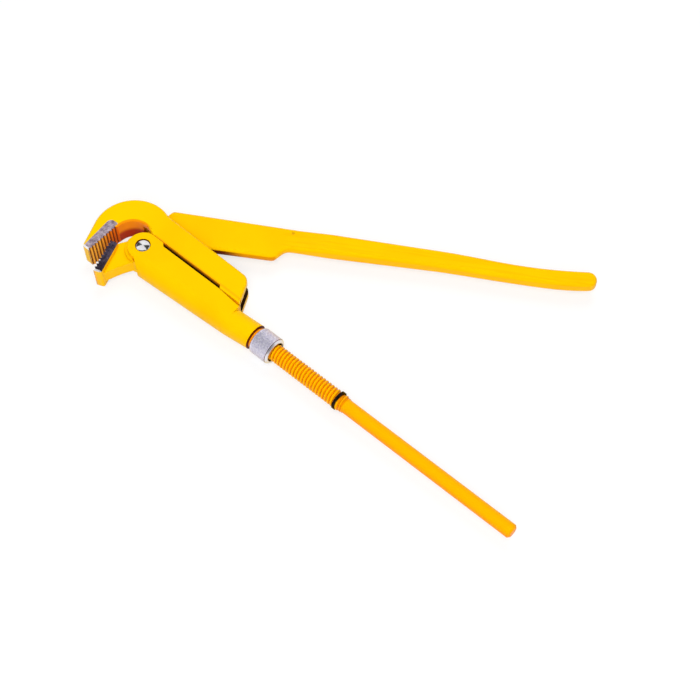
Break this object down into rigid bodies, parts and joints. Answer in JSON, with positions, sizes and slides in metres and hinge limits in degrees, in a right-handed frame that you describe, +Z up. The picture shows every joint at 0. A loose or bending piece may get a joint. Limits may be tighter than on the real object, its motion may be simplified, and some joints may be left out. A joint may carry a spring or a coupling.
{
  "type": "pipe wrench",
  "caption": "Swedish-pattern pipe wrench with a square toothed hook jaw, a pivoting toothed lever jaw, a sliding yoke, a knurled adjusting nut and a round screw handle.",
  "frame": {"origin": "middle of the wrench's box in plan, on the surface that it lies on", "axes": "+X along the screw rod from the hook towards the rod's end, +Y across it towards the lever's handle, +Z up, square to the flat side"},
  "size_m": [0.3234, 0.1996, 0.0174],
  "materials": {
    "paint": "gloss",
    "zinc": "knurled, zinc plated",
    "polished": "polished",
    "blackened": "black oxide"
  },
  "bodies": {
    "hook": {"hook_jaw": "paint", "stop_ring": "blackened"},
    "yoke": {"slide_yoke": "paint", "pivot_rivet": "polished"},
    "nut": {"adjusting_nut": "zinc"},
    "lever": {"jaw_lever": "paint"}
  },
  "joints": [
    {"name": "yoke_slide", "type": "slide", "parent": "hook", "child": "yoke", "axis": [1, 0, 0], "range_m": [0, 0.047]},
    {"name": "nut_turn", "type": "hinge", "parent": "yoke", "child": "nut", "pos_m": [-0.0221, -0.0673, 0.0087], "axis": [1, 0, 0], "range_deg": [0, 7326]},
    {"name": "lever_swing", "type": "hinge", "parent": "yoke", "child": "lever", "pos_m": [-0.1245, -0.0673, 0.0087], "axis": [0, 0, 1], "range_deg": [-20, 8]}
  ],
  "couplings": [
    {"joint": "nut_turn", "follows": "yoke_slide", "rad_per_m": 2720}
  ]
}
